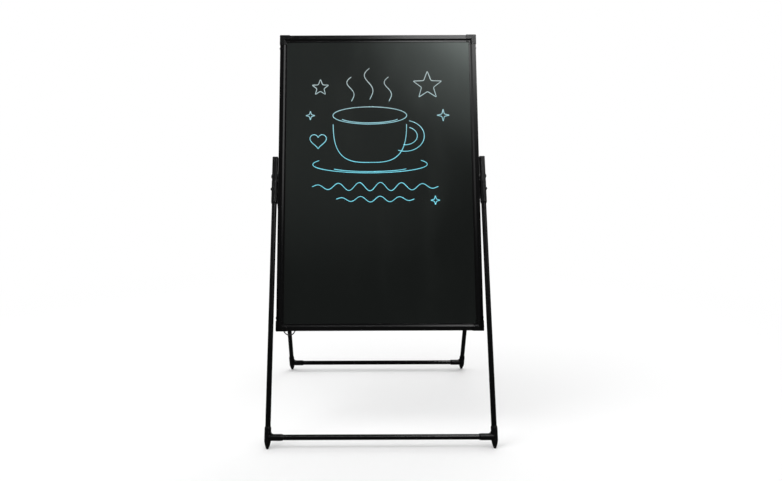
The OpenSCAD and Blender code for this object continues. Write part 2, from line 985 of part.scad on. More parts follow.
// Hole for a gland's neck, along Y
module gland_room(y0, y1) {
    rod_y(gland_neck_r + push_fit, y0, y1);
}

module box_gland() {
    color("black")
        at_corner()
            translate([lead_x_box, lead_depth, box_z - gland_len])
                gland_boot(gland_len, box_wall + 1);
}

module frame_gland() {
    len = lead_depth - rail_d - cap_face_proud;
    color("black")
        at_corner()
            translate([lead_x_frame, lead_depth, lead_z_frame])
                rotate([90, 0, 0])
                    gland_boot(len, rail_d / 4);
}

// Point of a smooth curve through p1 and p2, at t from 0 to 1
function curve_point(p0, p1, p2, p3, t) =
    0.5 * (2 * p1 + (p2 - p0) * t + (2 * p0 - 5 * p1 + 4 * p2 - p3) * t * t
           + (3 * p1 - p0 - 3 * p2 + p3) * t * t * t);

// All points along a route, with some steps between each pair
function smooth_route(route, steps) =
    let (n = len(route))
    concat(
        [for (i = [0 : n - 2], s = [0 : steps - 1])
            curve_point(route[max(i - 1, 0)], route[i], route[i + 1], route[min(i + 2, n - 1)], s / steps)],
        [route[n - 1]]);

function unit(v) = v / norm(v);

// Directions along a list of points, with the given ones at its two ends
function directions(points, first, last) =
    let (n = len(points))
    [for (i = [0 : n - 1])
        i == 0 ? first : i == n - 1 ? last : unit(points[i + 1] - points[i - 1])];

// Side vectors carried along the directions without twist
function carried(dirs, i, side) =
    let (here = unit(side - (side * dirs[i]) * dirs[i]))
    i == len(dirs) - 1 ? [here] : concat([here], carried(dirs, i + 1, here));

// Tube swept along points, square to what it meets at both ends
module swept_tube(points, first, last, r, sides) {
    dirs = directions(points, first, last);
    across = carried(dirs, 0, [1, 0, 0]);
    n = len(points);
    rings = [for (i = [0 : n - 1], k = [0 : sides - 1])
        let (turn = 360 * k / sides)
        points[i] + r * (cos(turn) * across[i] + sin(turn) * cross(dirs[i], across[i]))];
    walls = [for (i = [0 : n - 2], k = [0 : sides - 1])
        let (a = i * sides + k, b = i * sides + (k + 1) % sides)
        each [[a, a + sides, b], [b, a + sides, b + sides]]];
    ends = [for (k = [1 : sides - 2])
        each [[0, k, k + 1], [(n - 1) * sides, (n - 1) * sides + k + 1, (n - 1) * sides + k]]];
    polyhedron(points = rings, faces = concat(walls, ends));
}

module lead() {
    color("black")
        at_corner()
            swept_tube(smooth_route(lead_route, lead_steps), [0, 1, 0], [0, 0, 1], lead_d / 2, lead_sides);
}

leg(-1, false);  // front_leg_left
leg(1, false);  // front_leg_right
crossbar(false);  // front_crossbar
foot(-1, false);  // front_foot_left
foot(1, false);  // front_foot_right
front_hinge(-1);  // front_hinge_left
front_hinge(1);  // front_hinge_right
fold_pins();
leg_screws(false);  // front_leg_screws
leg(-1, true);  // rear_leg_left
leg(1, true);  // rear_leg_right
crossbar(true);  // rear_crossbar
foot(-1, true);  // rear_foot_left
foot(1, true);  // rear_foot_right
rear_hinge(-1);  // rear_hinge_left
rear_hinge(1);  // rear_hinge_right
leg_screws(true);  // rear_leg_screws
top_rail();
bottom_rail();
left_rail();
right_rail();
corner(0, 1);  // corner_top_left
corner(1, 1);  // corner_top_right
corner_bottom_left();
corner(1, 0);  // corner_bottom_right
writing_panel();
black_sheet();
back_panel();
led_strip_top();
led_strip_bottom();
led_chips_top();
led_chips_bottom();
side_screws();
rear_screws();
pivot_nut(-1);  // pivot_nut_left
pivot_nut(1);  // pivot_nut_right
pivot_bolt(-1);  // pivot_bolt_left
pivot_bolt(1);  // pivot_bolt_right
pivot_washers();
control_base();
control_cover();
control_circuit();
button_switches();
power_inlet();
control_screws();
box_gland();
frame_gland();
lead();
power_button();
mode_button();
brightness_button();
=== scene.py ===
"""Looks of the folding light board: a finish for every solid, the hanging lead, the pen drawing on the lit
panel, and a plain studio round them. Metres, +Z up, the board faces -Y."""
import json

import bmesh
import bpy
import numpy as np
from mathutils import Matrix


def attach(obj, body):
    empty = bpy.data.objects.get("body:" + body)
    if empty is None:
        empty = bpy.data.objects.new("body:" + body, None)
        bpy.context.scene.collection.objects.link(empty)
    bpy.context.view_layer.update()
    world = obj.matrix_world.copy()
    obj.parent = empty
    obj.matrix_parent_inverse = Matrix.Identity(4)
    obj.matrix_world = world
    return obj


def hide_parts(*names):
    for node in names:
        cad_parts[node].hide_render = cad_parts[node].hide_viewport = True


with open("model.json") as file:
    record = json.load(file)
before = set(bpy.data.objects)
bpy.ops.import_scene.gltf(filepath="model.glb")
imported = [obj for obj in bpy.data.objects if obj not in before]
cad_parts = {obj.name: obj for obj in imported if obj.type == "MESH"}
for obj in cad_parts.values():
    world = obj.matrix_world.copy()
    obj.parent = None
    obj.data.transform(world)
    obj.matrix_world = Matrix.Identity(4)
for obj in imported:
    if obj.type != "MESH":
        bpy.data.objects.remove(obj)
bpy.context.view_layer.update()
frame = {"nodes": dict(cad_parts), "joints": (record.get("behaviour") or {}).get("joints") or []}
NODES = frame["nodes"]
JOINTS = {joint["name"]: joint for joint in frame["joints"]}
MM = 0.001

# The board's own axes: across, up its face, and out of its front, from the line of its pivots
ACROSS = np.array([1.0, 0.0, 0.0])
FRONT = np.array(JOINTS["power_button_press"]["axis"], float)
UP = np.cross(FRONT, ACROSS)
PIVOT = np.array(JOINTS["board_tilt"]["pos_m"], float)


def on_board(across, up, out):
    """Points in the model's frame: the pivot plus a share of each of the board's three axes."""
    across, up, out = np.broadcast_arrays(across, up, out)
    return PIVOT + across[..., None] * ACROSS + up[..., None] * UP + out[..., None] * FRONT


def reach(node):
    """Lowest and highest (across, up, out) of a solid on the board: its points along the board's axes."""
    mesh = NODES[node].data
    points = np.empty(len(mesh.vertices) * 3, np.float32)
    mesh.vertices.foreach_get("co", points)
    along = (points.reshape(-1, 3) - PIVOT) @ np.stack([ACROSS, UP, FRONT]).T
    return along.min(0), along.max(0)


def unit(ways):
    """Vectors divided by their own lengths."""
    return ways / np.linalg.norm(ways, axis=-1, keepdims=True)


def stand(thing, right, up, back, at):
    """Puts a camera or a lamp in the scene: the axes that it stands along, and its place."""
    turned = np.eye(4)
    turned[:3] = np.stack([right, up, back, at], axis=1)
    thing.matrix_world = Matrix(turned.tolist())
    bpy.context.scene.collection.objects.link(thing)


# Camera: the photograph's width, focal length and optical axis in pixels, then its place and turns

IMAGE_W = 782
FOCAL_PX = 646
AXIS_X_PX = 364.7
SENSOR_MM = 36
CAMERA_AT = (-0.0429, -1.9713, 0.8294)
PITCH_DOWN = np.radians(8.72)
ROLL = np.radians(-0.21)


def make_camera():
    """Camera at the photograph's viewpoint: level heading along +Y, pitched down, with a trace of roll."""
    data = bpy.data.cameras.new("camera")
    data.sensor_width = SENSOR_MM
    data.lens = SENSOR_MM * FOCAL_PX / IMAGE_W
    data.shift_x = (IMAGE_W / 2 - AXIS_X_PX) / IMAGE_W
    ahead = np.array([0, np.cos(PITCH_DOWN), -np.sin(PITCH_DOWN)])
    level_up = np.array([0, np.sin(PITCH_DOWN), np.cos(PITCH_DOWN)])
    right = np.cos(ROLL) * ACROSS + np.sin(ROLL) * level_up
    up = np.cos(ROLL) * level_up - np.sin(ROLL) * ACROSS
    camera = bpy.data.objects.new("camera", data)
    stand(camera, right, up, -ahead, CAMERA_AT)
    bpy.context.scene.camera = camera


make_camera()

# Shader maths

# Rounded edges: their samples, and how far the rounded normal faces the plain way at mask 0 and at mask 1
EDGE_SAMPLES = 6
EDGE_FACING = (0.99, 0.86)
# Drop of a face for each metre outwards, and the depths below an outer flank at which its mask is 0 and 1
FALL_BACK = -np.tan(np.radians(6.8))
FLANK_SKIN = (0.15 * MM, 0.05 * MM)


class Value:
    """A number in a material's nodes: arithmetic on it adds Math nodes."""

    def __init__(self, finish, socket):
        self.finish = finish
        self.socket = socket

    def maths(self, operation, first, second):
        return self.finish.node("ShaderNodeMath", {"operation": operation}, {0: first, 1: second})

    def __add__(self, other):
        return self.maths("ADD", self, other)

    def __sub__(self, other):
        return self.maths("SUBTRACT", self, other)

    def __rsub__(self, other):
        return self.maths("SUBTRACT", other, self)

    def __mul__(self, other):
        return self.maths("MULTIPLY", self, other)

    def __pow__(self, other):
        return self.maths("POWER", self, other)

    def __abs__(self):
        return self.maths("ABSOLUTE", self, 0.0)

    __radd__ = __add__
    __rmul__ = __mul__


class Finish:
    """A material or the world as a tree of nodes; the methods add nodes and give back what they put out."""

    def __init__(self, owner):
        owner.use_nodes = True
        self.owner = owner
        self.tree = owner.node_tree
        self.tree.nodes.clear()

    def node(self, kind, settings=None, sockets=None, out=0):
        """Any node: its settings are set first, then each socket gets a number, a colour or a link."""
        made = self.tree.nodes.new(kind)
        for name, setting in (settings or {}).items():
            setattr(made, name, setting)
        for name, value in (sockets or {}).items():
            socket = made.inputs[name]
            if isinstance(value, Value):
                self.tree.links.new(value.socket, socket)
            elif socket.type == "RGBA":
                socket.default_value = (*value, 1.0)
            else:
                socket.default_value = value
        return Value(self, made.outputs[out])

    def vector(self, operation, *vectors, out=0):
        """Vector maths on one or two vectors."""
        return self.node("ShaderNodeVectorMath", {"operation": operation}, dict(enumerate(vectors)), out)

    def dot(self, first, second):
        """How far one vector reaches along another: the sum of their products."""
        return self.vector("DOT_PRODUCT", first, second, out="Value")

    def place(self):
        """Where the surface is, in the model's frame."""
        return self.node("ShaderNodeTexCoord", out="Object")

    def along(self, direction, origin=(0, 0, 0)):
        """Distance of the surface along a direction, from an origin."""
        offset = self.vector("SUBTRACT", self.place(), tuple(origin))
        return self.dot(offset, tuple(direction))

    def noise(self, scale, detail=2.0, where=None, roughness=0.5):
        """Cloudy noise from 0 to 1, with scale patches to the metre and finer ones by detail."""
        sockets = {"Vector": where or self.place(), "Scale": scale, "Detail": detail, "Roughness": roughness}
        return self.node("ShaderNodeTexNoise", None, sockets)

    def drawn_noise(self, scales, detail, roughness=0.5):
        """Noise drawn out along the board's axes: patches to the metre across, up and out."""
        directions = zip((ACROSS, UP, FRONT), scales)
        parts = {axis: self.along(way, PIVOT) * scale for axis, (way, scale) in zip("XYZ", directions)}
        where = self.node("ShaderNodeCombineXYZ", None, parts)
        return self.noise(1.0, detail, where, roughness)

    def cells(self, scale, out="Distance"):
        """Random cells, scale of them to the metre: the distance from a cell's middle, or its colour."""
        return self.node("ShaderNodeTexVoronoi", None, {"Vector": self.place(), "Scale": scale}, out)

    def ramp(self, value, low, high, to_low=0.0, to_high=1.0):
        """A smooth step of a value, from one number at low to another at high."""
        sockets = {"Value": value, "From Min": low, "From Max": high, "To Min": to_low, "To Max": to_high}
        return self.node("ShaderNodeMapRange", {"interpolation_type": "SMOOTHSTEP"}, sockets)

    def mix(self, share, first, second):
        """Mix of two colours."""
        return self.node("ShaderNodeMix", {"data_type": "RGBA"}, {0: share, 6: first, 7: second}, 2)

    def bump(self, height, deep, strength=1.0, normal=None):
        """Normal of a surface raised by a height from 0 to 1 that is so many metres deep."""
        sockets = {"Height": height, "Distance": deep, "Strength": strength}
        if normal:
            sockets["Normal"] = normal
        return self.node("ShaderNodeBump", None, sockets)

    def soft_edges(self, radius):
        """Normal that rounds sharp edges over a radius, and a mask that is 1 along those edges."""
        rounded = self.node("ShaderNodeBevel", {"samples": EDGE_SAMPLES}, {"Radius": radius})
        plain = self.node("ShaderNodeNewGeometry", out="True Normal")
        return rounded, self.ramp(self.dot(rounded, plain), *EDGE_FACING)

    def fallen_back(self, ways, normal):
        """Normal of a face that falls back to the outside: a height that drops with the distance out along
        each way."""
        far = sum(abs(self.along(way, PIVOT)) for way in ways)
        return self.bump(FALL_BACK * far, deep=1.0, normal=normal)

    def flanks(self, ways, first, last):
        """Mask of the faces furthest out along each way, between the low end of one solid and the high end of
        another: it rises to 1 within a thin skin below their distance from the middle."""
        low, high = reach(first)[0], reach(last)[1]
        middle = on_board(*((low + high) / 2))
        masks = []
        for way in ways:
            half = abs(np.dot(way, on_board(*high) - middle))
            masks.append(self.ramp(abs(self.along(way, middle)), *(half - depth for depth in FLANK_SKIN)))
        return sum(masks)

    def surface(self, **sockets):
        """Closes a material with one Principled shader; underscores stand for spaces in its socket names."""
        named = {name.replace("_", " "): value for name, value in sockets.items()}
        shader = self.node("ShaderNodeBsdfPrincipled", None, named)
        self.close("ShaderNodeOutputMaterial", shader)
        return self.owner

    def close(self, kind, shader):
        """Output node of a material or the world."""
        made = self.tree.nodes.new(kind)
        self.tree.links.new(shader.socket, made.inputs["Surface"])


def new_finish(name):
    """An empty material."""
    return Finish(bpy.data.materials.new(name))


def grey(level, cool=1.06):
    """A grey whose blue is cool times its red."""
    return (level, level, cool * level)


# Finishes

# Tones of the coated tubes and rails, roughness added to an outer flank, and a rail's rubbed arris
COAT_BLACK = (0.0003, 0.0003, 0.0004)
COAT_GREY = (0.0009, 0.0009, 0.0010)
FLANK_DULL = 0.40
RAIL_ARRIS = 0.5 * MM
# Die lines to the metre across, up and out: few along the rail, many over it
LEVEL_LINES = (4, 1500, 1500)
UPRIGHT_LINES = (1500, 4, 1500)
# Mouldings: roughness, gloss, width of the rubbed edges, and the tones of the grain and of the worn edges
MOULDINGS = {
    "foot_moulding": dict(dull=0.24, gloss=0.017, edge=0.6 * MM, pale=0.0024, worn=0.010),
    # The hinges are the feet's black plastic: their paler grain tone and brighter edges are painted light, on
    # top of real wear along the edges
    "hinge_moulding_painted_lighter": dict(dull=0.24, gloss=0.020, edge=0.6 * MM, pale=0.0050, worn=0.030),
    "corner_moulding": dict(
        dull=0.20, gloss=0.030, edge=0.5 * MM, pale=0.0024, worn=0.012, ways=(ACROSS, UP)),
    "box_moulding": dict(dull=0.36, gloss=0.08, edge=0.5 * MM, pale=0.0060, worn=0.026),
    "inlet_moulding": dict(dull=0.26, gloss=0.10, edge=0.2 * MM, pale=0.0040, worn=0.016),
}


def powder_coat():
    """Semi-gloss black powder coat: orange peel, slow patches of duller coat, and fine pale rub marks."""
    f = new_finish("powder_coat")
    patch = f.noise(9, detail=3)
    haze = f.noise(55, detail=4)
    rub = f.ramp(f.noise(150, detail=5, roughness=0.7), low=0.64, high=0.80)
    tone = f.mix(patch, COAT_BLACK, COAT_GREY)
    return f.surface(
        Base_Color=f.mix(rub, tone, (0.009, 0.009, 0.0095)),
        Roughness=0.15 + 0.08 * haze + 0.12 * rub,
        Normal=f.bump(f.noise(700), deep=0.06 * MM, strength=0.28),
        Specular_IOR_Level=0.026,
    )


def moulded_black(name, dull, gloss, edge, pale, worn, ways=()):
    """Black moulding: spark grain from small cells, a slow change of tone, and edges rubbed paler and
    smoother. With ways, its face falls back to the outside along them and its outer flanks are duller."""
    f = new_finish(name)
    rounded, rubbed = f.soft_edges(edge)
    face = rounded
    if ways:
        face = f.fallen_back(ways, rounded)
        dull = dull + FLANK_DULL * f.flanks(ways, "corner_bottom_left", "corner_top_right")
    wear = rubbed * f.ramp(f.noise(90, detail=4, roughness=0.65), low=0.35, high=0.7)
    grain = f.cells(1500)
    cloud = 0.45 * f.noise(14, detail=3) + 0.55 * f.ramp(grain, low=0.15, high=0.55)
    # Grain and edge tones come from the pale and worn levels given; for the hinges these levels include
    # painted light
    tone = f.mix(cloud, grey(0.0010), grey(pale))
    return f.surface(
        Base_Color=f.mix(wear, tone, grey(worn)),
        Roughness=dull + 0.14 * f.noise(38, detail=4) - 0.08 * wear,
        Normal=f.bump(grain, deep=0.08 * MM, strength=0.25, normal=face),
        Specular_IOR_Level=gloss,
    )


def satin_rail(name, way, scales, first, last):
    """Satin black anodised extrusion: its face falls back to the outside, with fine die lines drawn out along
    the rail, a cloudy tone, bright rubbed arrises and outer flanks dulled by handling."""
    f = new_finish(name)
    rounded, rubbed = f.soft_edges(RAIL_ARRIS)
    lines = f.drawn_noise(scales, detail=3)
    wear = rubbed * f.ramp(f.noise(60, detail=4, roughness=0.65), low=0.3, high=0.7)
    tone = f.mix(f.noise(11, detail=3), COAT_BLACK, COAT_GREY)
    return f.surface(
        Base_Color=f.mix(wear, tone, (0.022, 0.022, 0.023)),
        Roughness=0.10 + 0.08 * lines + FLANK_DULL * f.flanks([way], first, last),
        Normal=f.bump(lines, deep=0.03 * MM, strength=0.12, normal=f.fallen_back([way], rounded)),
        Specular_IOR_Level=0.042,
    )


def panel_gloss():
    """Polished clear sheet over black: dark green-grey, with wiped smears and fine hairlines that dull it in
    places."""
    f = new_finish("panel_gloss")
    smear = f.ramp(f.drawn_noise((9, 3, 9), detail=5), low=0.45, high=0.8)
    hairline = f.ramp(f.drawn_noise((420, 14, 14), detail=3, roughness=0.6), low=0.66, high=0.74)
    return f.surface(
        Base_Color=f.mix(smear, (0.0030, 0.0034, 0.0031), (0.0042, 0.0047, 0.0043)),
        Roughness=0.10 + 0.09 * smear + 0.08 * hairline,
        Specular_IOR_Level=0.077,
        Specular_Tint=(0.88, 1.0, 0.95),
    )


def plain_sheet():
    """Matt black backing sheet with cloudy patches and a slight tooth."""
    f = new_finish("plain_sheet")
    cloud = f.noise(60, detail=3)
    return f.surface(
        Base_Color=f.mix(cloud, grey(0.0034, cool=1.0), grey(0.0046, cool=1.0)),
        Roughness=0.7 + 0.1 * cloud,
        Normal=f.bump(f.noise(900), deep=0.05 * MM, strength=0.4),
    )


def stippled_back():
    """Dark grey back sheet with an embossed stipple and scuffs."""
    f = new_finish("stippled_back")
    stipple = f.noise(420, detail=1)
    scuff = f.ramp(f.drawn_noise((30, 7, 30), detail=6, roughness=0.65), low=0.58, high=0.75)
    return f.surface(
        Base_Color=f.mix(scuff, (0.021, 0.021, 0.022), (0.032, 0.032, 0.033)),
        Roughness=0.5 + 0.12 * scuff,
        Normal=f.bump(stipple, deep=0.25 * MM, strength=0.5),
        Specular_IOR_Level=0.16,
    )


def light_strip():
    """White flexible circuit with a slight yellow cast."""
    f = new_finish("light_strip")
    tone = f.mix(f.noise(40), (0.72, 0.72, 0.69), (0.80, 0.80, 0.76))
    return f.surface(Base_Color=tone, Roughness=0.42 + 0.1 * f.noise(120))


def light_chip():
    """Lit chip: pale yellow resin that glows."""
    f = new_finish("light_chip")
    tone = f.mix(f.noise(300), (0.85, 0.80, 0.45), (0.90, 0.88, 0.62))
    return f.surface(Base_Color=tone, Roughness=0.3, Emission_Color=tone, Emission_Strength=1.0)


def black_oxide():
    """Black oxide steel: dark metal with paler rubbed spots."""
    f = new_finish("black_oxide")
    rub = f.ramp(f.noise(240, detail=3), low=0.5, high=0.75)
    tone = f.mix(rub, (0.005, 0.005, 0.006), (0.020, 0.020, 0.022))
    return f.surface(Base_Color=tone, Metallic=0.7, Roughness=0.34 + 0.12 * rub, Specular_IOR_Level=0.05)


def zinc_plate():
    """Zinc plated steel with cloudy blue-grey patches that are also duller."""
    f = new_finish("zinc_plate")
    cloud = f.noise(180, detail=4)
    tone = f.mix(cloud, (0.24, 0.25, 0.27), (0.38, 0.39, 0.40))
    return f.surface(Base_Color=tone, Metallic=1.0, Roughness=0.28 + 0.14 * cloud)


def rubber(name, dark, pale):
    """Soft black rubber or vinyl: dull, with a fine skin."""
    f = new_finish(name)
    tone = f.mix(f.noise(60, detail=3), grey(dark, cool=1.0), grey(pale, cool=1.0))
    return f.surface(
        Base_Color=tone,
        Roughness=0.55 + 0.12 * f.noise(150, detail=3),
        Normal=f.bump(f.noise(1300), deep=0.04 * MM, strength=0.5),
        Specular_IOR_Level=0.08,
    )


def green_circuit():
    """Green circuit board: lacquer over a woven base."""
    f = new_finish("green_circuit")
    tone = f.mix(f.cells(500, "Color"), (0.008, 0.05, 0.018), (0.012, 0.08, 0.03))
    return f.surface(Base_Color=tone, Roughness=0.3 + 0.1 * f.noise(90))


def switch_case():
    """Grey tin and plastic of a small tact switch."""
    f = new_finish("switch_case")
    tone = f.mix(f.noise(200), (0.22, 0.22, 0.23), (0.34, 0.34, 0.35))
    return f.surface(Base_Color=tone, Metallic=0.5, Roughness=0.36 + 0.1 * f.noise(300))


def soft_button():
    """Grey soft-touch button cap with a velvet grain."""
    f = new_finish("soft_button")
    tone = f.mix(f.noise(120, detail=3), (0.115, 0.118, 0.122), (0.15, 0.153, 0.158))
    return f.surface(
        Base_Color=tone,
        Roughness=0.6 + 0.1 * f.noise(200, detail=3),
        Normal=f.bump(f.noise(2200), deep=0.04 * MM, strength=0.4),
        Specular_IOR_Level=0.2,
    )


SIDES = ("left", "right")


def each(pattern, *choices):
    """Names from a pattern and the words that go in its gap."""
    return [pattern.format(word) for word in choices]


def dress_solids():
    """Gives every solid its finish."""
    ends = ("front", "rear")
    legs, feet, hinges = ([name for end in ends for name in each(end + kind, *SIDES)]
                          for kind in ("_leg_{}", "_foot_{}", "_hinge_{}"))
    corners = [name for end in ("top", "bottom") for name in each("corner_" + end + "_{}", *SIDES)]
    levels, uprights = ["bottom_rail", "top_rail"], ["left_rail", "right_rail"]
    screws = each("{}_screws", "front_leg", "rear_leg", "side", "rear", "control")
    moulded = {
        "foot_moulding": feet,
        "hinge_moulding_painted_lighter": hinges,
        "corner_moulding": corners,
        "box_moulding": ["control_base", "control_cover"],
        "inlet_moulding": ["power_inlet"],
    }
    dressing = [
        (powder_coat(), legs + each("{}_crossbar", *ends)),
        *((moulded_black(name, **MOULDINGS[name]), solids) for name, solids in moulded.items()),
        (satin_rail("level_rail", UP, LEVEL_LINES, *levels), levels),
        (satin_rail("upright_rail", ACROSS, UPRIGHT_LINES, *uprights), uprights),
        (panel_gloss(), ["writing_panel"]),
        (plain_sheet(), ["black_sheet"]),
        (stippled_back(), ["back_panel"]),
        (light_strip(), each("led_strip_{}", "top", "bottom")),
        (light_chip(), each("led_chips_{}", "top", "bottom")),
        (black_oxide(), screws + each("pivot_bolt_{}", *SIDES)),
        (zinc_plate(), ["fold_pins", *each("pivot_nut_{}", *SIDES)]),
        (rubber("washer_rubber", dark=0.012, pale=0.018), ["pivot_washers"]),
        (rubber("gland_rubber", dark=0.010, pale=0.015), ["box_gland", "frame_gland"]),
        (green_circuit(), ["control_circuit"]),
        (switch_case(), ["button_switches"]),
        (soft_button(), each("{}_button", "power", "mode", "brightness")),
    ]
    for material, solids in dressing:
        for name in solids:
            slots = NODES[name].data.materials
            slots.clear()
            slots.append(material)


dress_solids()

# New pieces


def new_piece(name, points, faces, material, body, values=None):
    """A mesh piece from points, faces and named numbers at its points, riding on a body."""
    mesh = bpy.data.meshes.new(name)
    mesh.from_pydata(points, [], faces)
    for word, numbers in (values or {}).items():
        mesh.attributes.new(word, "FLOAT", "POINT").data.foreach_set("value", np.ravel(numbers))
    shell = bmesh.new()
    shell.from_mesh(mesh)
    bmesh.ops.recalc_face_normals(shell, faces=shell.faces)
    shell.to_mesh(mesh)
    shell.free()
    mesh.shade_smooth()
    mesh.materials.append(material)
    piece = bpy.data.objects.new(name, mesh)
    bpy.context.scene.collection.objects.link(piece)
    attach(piece, body)
    return piece


def tube_faces(rings, sides, closed):
    """Quads of a grid of rings: each joins a point to the next round its ring and to the next ring. An open
    tube also gets a flat face at each end."""
    ring, side = np.meshgrid(np.arange(rings if closed else rings - 1), np.arange(sides), indexing="ij")
    following, turned = (ring + 1) % rings, (side + 1) % sides
    near, far = ring * sides, following * sides
    corners = [near + side, far + side, far + turned, near + turned]
    faces = np.stack([corner.ravel() for corner in corners], axis=1).tolist()
    if not closed:
        faces += [list(range(sides)), list(range((rings - 1) * sides, rings * sides))]
    return faces


def rounded_route(points, first_way, last_way, steps):
    """Smooth line through points: cubic spans whose slope at a point is half the step between its
    neighbours. The ends are carried on along their own ways for that."""
    points = np.asarray(points, float)
    before = points[0] - np.asarray(first_way) * np.linalg.norm(points[1] - points[0])
    after = points[-1] + np.asarray(last_way) * np.linalg.norm(points[-1] - points[-2])
    padded = np.vstack([before, points, after])
    share = np.linspace(0, 1, steps, endpoint=False)[None, :, None]
    p0, p1, p2, p3 = (padded[i:len(padded) - 3 + i, None] for i in range(4))
    slope, bend, twist = p2 - p0, 2 * p0 - 5 * p1 + 4 * p2 - p3, 3 * p1 - p0 - 3 * p2 + p3
    spans = p1 + 0.5 * share * (slope + share * (bend + share * twist))
    return np.vstack([spans.reshape(-1, points.shape[1]), points[-1]])


# Lead: its route in millimetres from the frame's lower left front corner, across, back and up

LEAD_D = 3.2 * MM
LEAD_ROUTE = [
    (17, 27, 6), (17, 33, 5), (18, 38, 0), (21, 40, -5), (27, 41, -10), (35, 41, -12),
    (44, 40, -9), (51, 37, 0), (55, 32, 14), (56, 28, 32), (56, 27, 42), (56, 27, 50)]
LEAD_FIRST_WAY = (0, 1, 0)
LEAD_LAST_WAY = (0, 0, 1)
LEAD_STEPS = 3
LEAD_SIDES = 16


def make_lead():
    """Vinyl lead that hangs in a loop from the frame's corner to the control box: a circle carried along its
    route."""
    corner = [reach("left_rail")[0][0], reach("bottom_rail")[0][1], reach("left_rail")[1][2]]
    x, depth, height = (rounded_route(LEAD_ROUTE, LEAD_FIRST_WAY, LEAD_LAST_WAY, LEAD_STEPS) * MM).T
    path = on_board(corner[0] + x, corner[1] + height, corner[2] - depth)
    way = unit(np.gradient(path, axis=0))
    never_along = ACROSS + FRONT - UP
    aside = unit(np.cross(way, never_along))
    over = np.cross(way, aside)
    turn = np.linspace(0, 2 * np.pi, LEAD_SIDES, endpoint=False)[None, :, None]
    skin = path[:, None] + LEAD_D / 2 * (np.cos(turn) * aside[:, None] + np.sin(turn) * over[:, None])
    faces = tube_faces(len(path), LEAD_SIDES, False)
    vinyl = rubber("lead_vinyl", dark=0.008, pale=0.013)
    lead = new_piece("hanging_lead", skin.reshape(-1, 3), faces, vinyl, "board")
    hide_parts("lead")


make_lead()

# Pen drawing

# A line's width, height, depth below the panel's face and step, the angles round its dome and the power
# that flattens it, the least share of width at its tips, its fewest stops, and weights that smooth them
PEN_W = 2.4 * MM
PEN_H = 0.35 * MM
PEN_SUNK = 0.05 * MM
PEN_STEP = 2.2 * MM
PEN_DOME = np.radians([0, 35, 65, 90, 115, 145, 180])
PEN_DOME_POWER = 0.7
PEN_TIP = 0.15
PEN_FEWEST = 12
PEN_SMOOTHING = (0.1, 0.2, 0.4, 0.2, 0.1)
# The hand's press: shares of the line's width, and the run of line over which each wave turns by a radian
PRESS_SLOW, SLOW_RUN = 0.10, 21 * MM
PRESS_QUICK, QUICK_RUN = 0.06, 6.7 * MM
PRESS_START = 40
# Heights over the pivots between which the glow pales from cyan to grey-teal: a painted reflection glare that
# washes out the lines high on the board
PAINTED_GLARE_HEIGHTS = (0.03, 0.31)
# Points along each kind of curve, and the numbers of its formula
ARC_POINTS = 160
RIPPLE_POINTS = 200
RIPPLE_SWELL = 0.4
STEAM_POINTS = 90
HEART_POINTS = 120
HEART_COSINES = (13, -5, -2, -1)
HEART_HALF = 16


def arc(x, h, wide, high, start=0, end=360, square=1.0):
    """Part of an oval, in degrees; a square power under 1 fills out its corners."""
    turn = np.radians(np.linspace(start, end, ARC_POINTS))
    bent = [np.sign(wave) * np.abs(wave) ** square for wave in (np.cos(turn), np.sin(turn))]
    return np.stack([x + wide * bent[0], h + high * bent[1]], axis=1)


def ripple(x0, x1, h, swing, turns):
    """Wavy line: a sine whose swing grows from its ends, as a power of half a sine."""
    share = np.linspace(0, 1, RIPPLE_POINTS)
    grown = np.sin(np.pi * share) ** RIPPLE_SWELL
    return np.stack([x0 + (x1 - x0) * share, h + swing * grown * np.sin(2 * np.pi * turns * share)], axis=1)


def steam(x, h0, h1, swing):
    """Rising curl: one sine wave up the panel whose swing grows from a half to one and a half."""
    share = np.linspace(0, 1, STEAM_POINTS)
    return np.stack([x + swing * (0.5 + share) * np.sin(2 * np.pi * share), h0 + (h1 - h0) * share], axis=1)


def star(x, h, radius, waist, points=5, turn=90):
    """Star outline: radius and waist by turns round a circle."""
    count = 2 * points
    angle = np.radians(turn + 360 * np.arange(count + 1) / count)
    radii = np.where(np.arange(count + 1) % 2, waist, radius)
    return np.stack([x + radii * np.cos(angle), h + radii * np.sin(angle)], axis=1)


def heart(x, h, size):
    """Heart: across by a cubed sine, and up by a sum of cosines of one to four turns."""
    t = np.linspace(0, 2 * np.pi, HEART_POINTS)
    high = sum(weight * np.cos((i + 1) * t) for i, weight in enumerate(HEART_COSINES))
    return np.stack([x + size * np.sin(t) ** 3, h + size * high / HEART_HALF], axis=1)


# Lines of the drawing, in millimetres from the panel's middle, and whether each closes on itself
DRAWING = [
    (arc(-26, 196, 112, 27), True),
    (arc(-26, 190, 90, 17, 200, 340), False),
    (arc(-26, 192, 111, 142, 183, 357, 0.62), False),
    (arc(80, 132, 58, 48, -112, 78), False),
    (arc(80, 132, 37, 28, -100, 70), False),
    (arc(-26, 44, 172, 26, 152, 388), False),
    (arc(-26, 36, 120, 14, 205, 335), False),
    (steam(-82, 240, 318, 11), False),
    (steam(-26, 246, 346, 13), False),
    (steam(32, 240, 318, 11), False),
    (star(150, 290, 46, 19), True),
    (star(-176, 284, 27, 11), True),
    (star(196, 196, 20, 5, 4), True),
    (star(-206, 196, 15, 4, 4), True),
    (heart(-182, 118, 25), True),
    (ripple(-200, 178, -24, 13, 6), False),
    (ripple(-128, 106, -62, 9, 4), False),
    (star(168, -66, 15, 4, 4), True),
]


